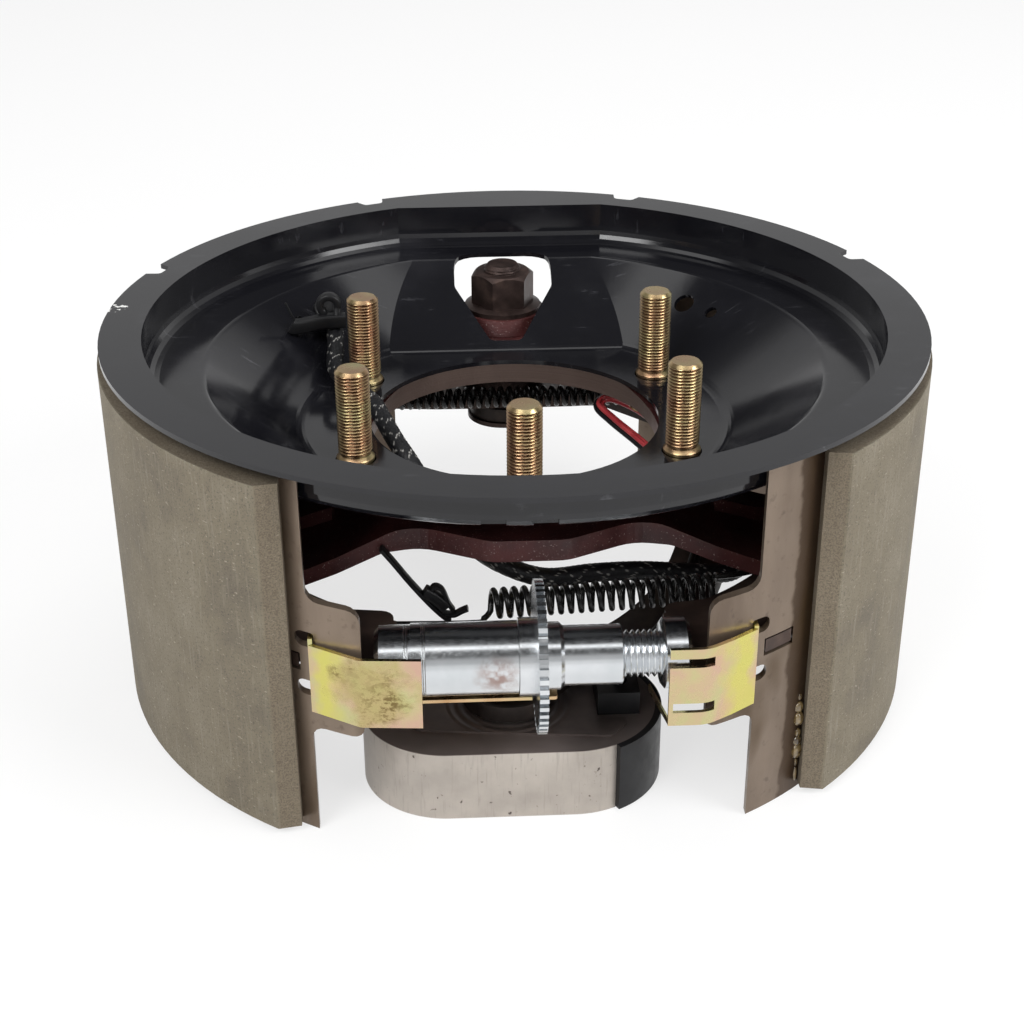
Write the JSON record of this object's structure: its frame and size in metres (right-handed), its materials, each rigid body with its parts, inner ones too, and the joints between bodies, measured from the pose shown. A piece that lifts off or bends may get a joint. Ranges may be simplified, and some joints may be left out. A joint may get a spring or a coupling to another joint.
{
  "type": "electric drum brake",
  "caption": "Left-hand trailer drum brake: dished backing shield, stud flange, two lined shoes, star-wheel adjuster, and a magnet on a lever that applies the shoes.",
  "frame": {"origin": "centre of the hub bore on the face of the dust shield that the axle flange seats on", "axes": "+Z along the bore towards the axle, +Y towards the anchor pin, +X towards the primary shoe"},
  "size_m": [0.31, 0.308, 0.143],
  "materials": {
    "shield_paint": "gloss black",
    "spider_paint": "maroon primer",
    "yellow_zinc": "yellow zinc plate",
    "bright_zinc": "bright zinc plate",
    "bare_steel": "bare, satin",
    "dark_steel": "dark, oiled",
    "spring_steel": "black oxide",
    "shoe_steel": "brown-grey, oiled",
    "friction_lining": "matte, speckled",
    "coil_filling": "matte",
    "black_plastic": "satin",
    "lead_insulation": "satin red",
    "braid": "woven"
  },
  "bodies": {
    "backing": {"dust_shield": "shield_paint", "spider": "spider_paint", "mounting_studs": "yellow_zinc", "anchor_pin": "dark_steel", "anchor_nut": "dark_steel", "anchor_washer": "bare_steel", "lever_retainer": "bare_steel", "hold_down_pins": "yellow_zinc", "hold_down_springs": "spring_steel", "hold_down_cups": "bare_steel", "harness_sleeve": "braid", "harness_tie": "black_plastic", "spider_tie": "black_plastic", "lead_loop": "lead_insulation"},
    "secondary_shoe": {"secondary_table": "shoe_steel", "secondary_web": "shoe_steel", "secondary_lining": "friction_lining", "secondary_clip": "yellow_zinc", "lock_plate": "yellow_zinc", "adjuster_socket": "bright_zinc", "upper_spring": "spring_steel", "lower_spring": "spring_steel"},
    "primary_shoe": {"primary_table": "shoe_steel", "primary_web": "shoe_steel", "primary_lining": "friction_lining", "primary_clip": "yellow_zinc"},
    "star_wheel": {"star_nut": "bright_zinc"},
    "screw": {"adjuster_screw": "bright_zinc"},
    "lever": {"lever_arm": "dark_steel", "magnet_leads": "black_plastic"},
    "magnet": {"magnet_frame": "bare_steel", "magnet_coil": "coil_filling", "magnet_plate": "dark_steel", "magnet_washer": "bare_steel", "magnet_clip": "spring_steel", "magnet_boot": "black_plastic"}
  },
  "joints": [
    {"name": "secondary_shoe_swing", "type": "hinge", "parent": "backing", "child": "secondary_shoe", "pos_m": [0, 0.105, -0.03], "axis": [0, 0, 1], "range_deg": [-1, 0], "stiffness_Nm_per_rad": 60, "deforming": ["upper_spring", "lower_spring"]},
    {"name": "primary_shoe_swing", "type": "hinge", "parent": "backing", "child": "primary_shoe", "pos_m": [0, 0.105, -0.03], "axis": [0, 0, 1], "range_deg": [0, 1], "deforming": ["upper_spring", "lower_spring"]},
    {"name": "star_wheel_turn", "type": "hinge", "parent": "secondary_shoe", "child": "star_wheel", "pos_m": [0.003, -0.1235, -0.0325], "axis": [1, 0, 0], "range_deg": [0, 721]},
    {"name": "screw_slide", "type": "slide", "parent": "secondary_shoe", "child": "screw", "axis": [1, 0, 0], "range_m": [0, 0.00401]},
    {"name": "lever_swing", "type": "hinge", "parent": "backing", "child": "lever", "pos_m": [0, 0.105, -0.038], "axis": [0, 0, 1], "range_deg": [-4, 4]},
    {"name": "magnet_float", "type": "slide", "parent": "lever", "child": "magnet", "axis": [0, 0, 1], "range_m": [0, 0.0025]}
  ],
  "couplings": [
    {"joint": "star_wheel_turn", "follows": "primary_shoe_swing", "ratio": 717.88},
    {"joint": "screw_slide", "follows": "primary_shoe_swing", "m_per_rad": 0.22851}
  ]
}
